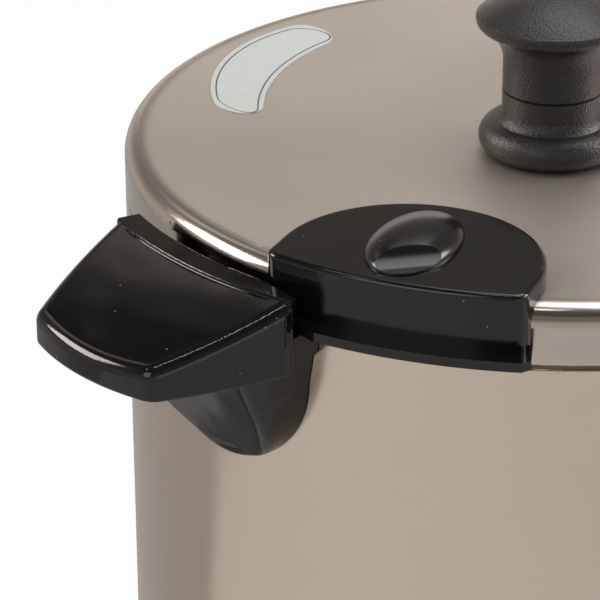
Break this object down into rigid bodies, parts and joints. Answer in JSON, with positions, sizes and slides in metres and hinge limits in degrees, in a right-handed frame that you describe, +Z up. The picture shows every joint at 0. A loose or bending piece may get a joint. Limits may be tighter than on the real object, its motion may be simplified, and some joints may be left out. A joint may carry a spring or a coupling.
{
  "type": "hot water urn",
  "caption": "Tall stainless steel catering urn with a lift-off locking lid, black mushroom knob, side handles with locking rails, a lever tap and a black control base.",
  "frame": {"origin": "on the table, under the axis of the tank, in the plane of the foot ring", "axes": "+Z up along the tank's axis, -Y towards the tap and the controls, handles along X"},
  "size_m": [0.3644, 0.312, 0.46],
  "materials": {
    "steel": "satin, faint circular brushing",
    "black_plastic": "fine matt grain",
    "gloss_black": "glossy",
    "phenolic": "slightly rough moulded",
    "sticker": "satin film",
    "rubber": "matt",
    "silicone": "matt translucent",
    "zinc": "zinc plated",
    "chrome": "polished",
    "brass": "plain",
    "panel": "satin",
    "dark_plastic": "matt",
    "lamp_amber": "clear coloured",
    "lamp_green": "clear coloured",
    "rocker_red": "glossy",
    "element": "dull"
  },
  "bodies": {
    "urn": {"tank_shell": "steel", "base_housing": "black_plastic", "base_plate": "zinc", "foot_ring": "rubber", "centre_stud": "zinc", "stud_nut": "zinc", "heating_element": "element", "element_terminal_left": "brass", "element_terminal_right": "brass", "element_clamp": "zinc", "thermal_cutout": "dark_plastic", "thermostat": "dark_plastic", "control_panel": "panel", "lamp_left": "lamp_amber", "lamp_right": "lamp_green", "switch_frame": "dark_plastic", "inlet_pin_earth": "brass", "inlet_pin_live": "brass", "inlet_pin_neutral": "brass", "inlet_socket": "dark_plastic", "tap_body": "chrome", "tap_gasket_outer": "silicone", "tap_gasket_inner": "silicone", "tap_nut": "brass", "tap_bonnet": "black_plastic", "tap_spring": "zinc", "right_handle": "black_plastic", "left_handle": "black_plastic", "left_high_seal_washer": "silicone", "left_high_handle_screw": "zinc", "left_low_seal_washer": "silicone", "left_low_handle_screw": "zinc", "right_high_seal_washer": "silicone", "right_high_handle_screw": "zinc", "right_low_seal_washer": "silicone", "right_low_handle_screw": "zinc"},
    "seal_ring": {"seal_ring": "silicone"},
    "lid": {"lid_shell": "steel", "knob_base": "phenolic", "knob_cap": "phenolic", "knob_bolt": "zinc", "knob_washer": "silicone", "lid_label": "sticker", "left_lid_block": "black_plastic", "left_block_dome": "gloss_black", "left_fore_block_screw": "zinc", "left_aft_block_screw": "zinc", "right_lid_block": "black_plastic", "right_block_dome": "gloss_black", "right_fore_block_screw": "zinc", "right_aft_block_screw": "zinc"},
    "valve_stem": {"valve_stem": "chrome", "seat_cup": "silicone", "lever_pin": "zinc"},
    "tap_lever": {"tap_lever": "black_plastic"},
    "control_knob": {"control_knob": "black_plastic"},
    "power_rocker": {"power_rocker": "rocker_red"}
  },
  "joints": [
    {"name": "lid_turn", "type": "hinge", "parent": "urn", "child": "seal_ring", "pos_m": [0, 0, 0.408], "axis": [0, 0, 1], "range_deg": [-26, 120]},
    {"name": "lid_lift", "type": "slide", "parent": "seal_ring", "child": "lid", "axis": [0, 0, 1], "range_m": [0, 0.15]},
    {"name": "valve_lift", "type": "slide", "parent": "urn", "child": "valve_stem", "axis": [0, 0, 1], "range_m": [0, 0.0042], "stiffness_N_per_m": 40, "springref_m": -0.003, "deforming": ["tap_spring"]},
    {"name": "lever_tilt", "type": "hinge", "parent": "valve_stem", "child": "tap_lever", "pos_m": [0, -0.166, 0.1533], "axis": [1, 0, 0], "range_deg": [0, 30], "stiffness_Nm_per_rad": 0.2, "springref_deg": -11.46},
    {"name": "control_turn", "type": "hinge", "parent": "urn", "child": "control_knob", "pos_m": [0, -0.121, 0.048], "axis": [0, -1, 0], "range_deg": [0, 270]},
    {"name": "rocker_tilt", "type": "hinge", "parent": "urn", "child": "power_rocker", "pos_m": [0.031, -0.119, 0.034], "axis": [1, 0, 0], "range_deg": [0, 16]}
  ],
  "couplings": [
    {"joint": "valve_lift", "follows": "lever_tilt", "m_per_rad": 0.008}
  ]
}
